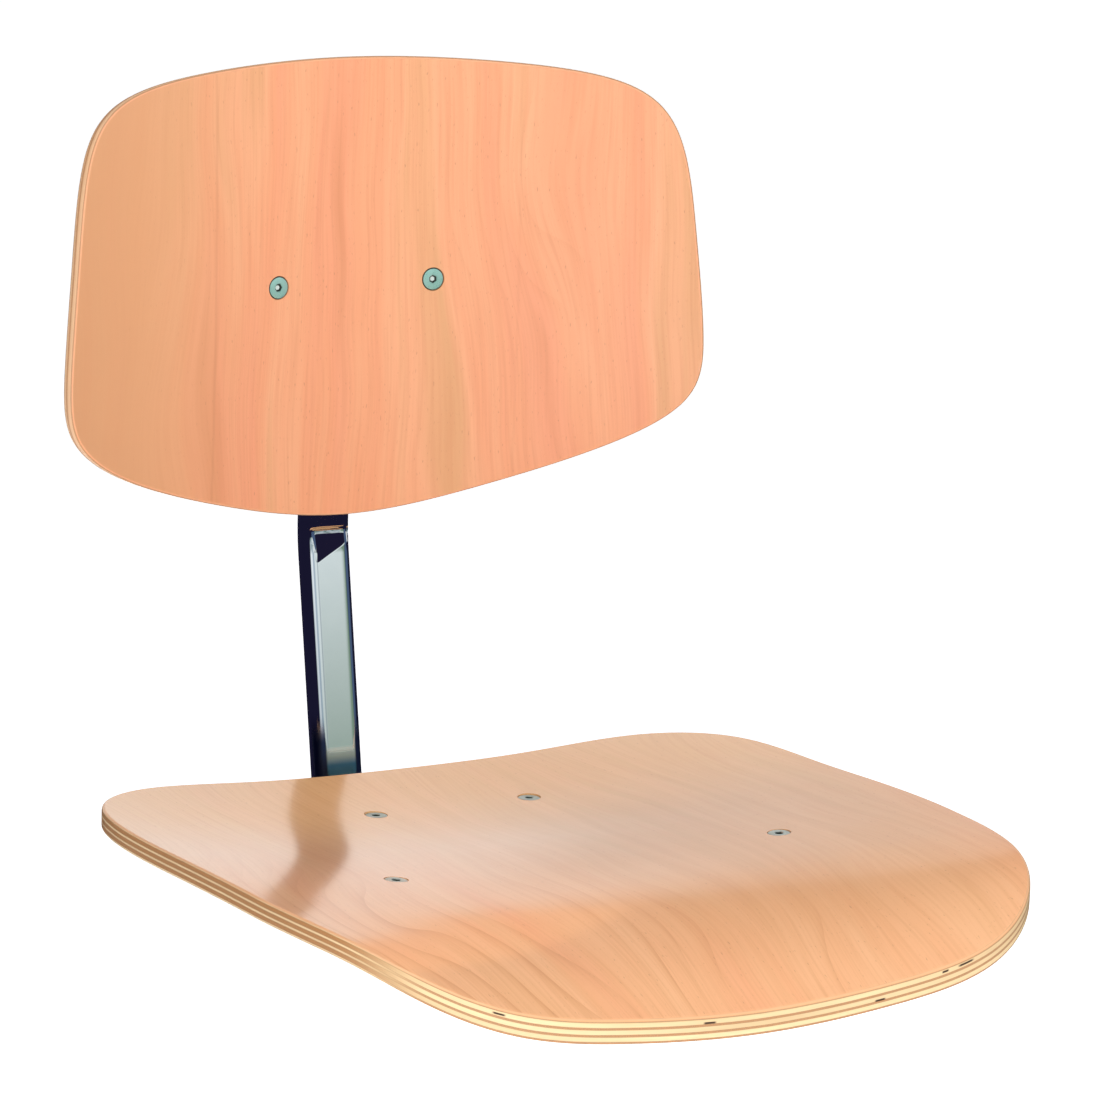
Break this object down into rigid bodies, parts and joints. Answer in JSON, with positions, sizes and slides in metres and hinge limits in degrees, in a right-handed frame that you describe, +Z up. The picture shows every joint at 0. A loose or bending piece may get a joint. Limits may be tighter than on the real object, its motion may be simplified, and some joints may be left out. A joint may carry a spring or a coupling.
{
  "type": "work chair upper unit",
  "caption": "Work chair upper unit: moulded beech plywood seat and curved backrest on a chromed flat-oval bar, with under-seat carrier, column socket, clamp knobs and lift lever.",
  "frame": {"origin": "on the axis of the column socket, at its lower mouth", "axes": "+Z up along the socket, -Y the way the sitter faces, +X to the sitter's left"},
  "size_m": [0.4437, 0.5486, 0.497],
  "materials": {
    "beech_plywood": "clear lacquered moulded beech plywood, satin to gloss",
    "chrome": "bright chrome plate on steel tube",
    "zinc_steel": "bright zinc plated steel",
    "black_steel": "black powder coat",
    "black_plastic": "black moulded polyamide",
    "white_plastic": "natural acetal",
    "black_rubber": "black rubber",
    "brass": "turned brass"
  },
  "bodies": {
    "seat_unit": {"seat_shell": "beech_plywood", "seat_screws": "zinc_steel", "seat_nuts": "zinc_steel", "seat_pads": "black_rubber", "carrier_channel": "black_steel", "front_arm": "black_steel", "rear_arm": "black_steel", "column_socket": "black_steel", "socket_top_plate": "black_steel", "socket_floor_plate": "black_steel", "lever_bracket": "black_steel", "lever_pin": "zinc_steel", "bar_guide": "black_steel", "guide_liner": "white_plastic", "guide_nut": "zinc_steel"},
    "height_lever": {"height_lever": "black_steel", "lever_grip": "black_plastic"},
    "depth_pad": {"depth_pad": "white_plastic"},
    "depth_knob": {"depth_screw": "zinc_steel", "depth_knob": "black_plastic"},
    "back_bar": {"back_bar": "chrome", "bar_end_plug": "black_plastic", "bar_top_plug": "black_plastic", "bar_stop_screw": "zinc_steel"},
    "carriage": {"carriage": "black_steel", "carriage_liner": "white_plastic", "carriage_insert": "brass", "pivot_pins": "zinc_steel", "pivot_rings": "zinc_steel", "tilt_buffers": "black_rubber"},
    "height_pad": {"height_pad": "white_plastic"},
    "height_knob": {"height_screw": "zinc_steel", "height_knob": "black_plastic"},
    "backrest": {"backrest_shell": "beech_plywood", "backrest_bracket": "black_steel", "backrest_screws": "zinc_steel", "backrest_nuts": "zinc_steel", "pivot_bushes": "white_plastic"}
  },
  "joints": [
    {"name": "depth_slide", "type": "slide", "parent": "seat_unit", "child": "back_bar", "axis": [0, 1, 0], "range_m": [-0.02, 0.03]},
    {"name": "depth_pad_slide", "type": "slide", "parent": "seat_unit", "child": "depth_pad", "axis": [0, 0, -1], "range_m": [0, 0.0019]},
    {"name": "depth_knob_turn", "type": "hinge", "parent": "depth_pad", "child": "depth_knob", "pos_m": [0, 0.13, 0.02], "axis": [0, 0, -1], "range_deg": [0, 540]},
    {"name": "height_slide", "type": "slide", "parent": "back_bar", "child": "carriage", "axis": [0, 0, 1], "range_m": [-0.03, 0.03]},
    {"name": "height_pad_slide", "type": "slide", "parent": "carriage", "child": "height_pad", "axis": [0, 1, 0], "range_m": [0, 0.0019]},
    {"name": "height_knob_turn", "type": "hinge", "parent": "height_pad", "child": "height_knob", "pos_m": [0, 0.3, 0.3645], "axis": [0, 1, 0], "range_deg": [0, 540]},
    {"name": "backrest_swing", "type": "hinge", "parent": "carriage", "child": "backrest", "pos_m": [0, 0.27864, 0.3645], "axis": [-1, 0, 0], "range_deg": [-3, 12]},
    {"name": "lift_lever", "type": "hinge", "parent": "seat_unit", "child": "height_lever", "pos_m": [0.024, 0, 0.057], "axis": [0, -1, 0], "range_deg": [0, 6]}
  ],
  "couplings": [
    {"joint": "depth_pad_slide", "follows": "depth_knob_turn", "m_per_rad": 0.00019894},
    {"joint": "height_pad_slide", "follows": "height_knob_turn", "m_per_rad": 0.00019894}
  ]
}
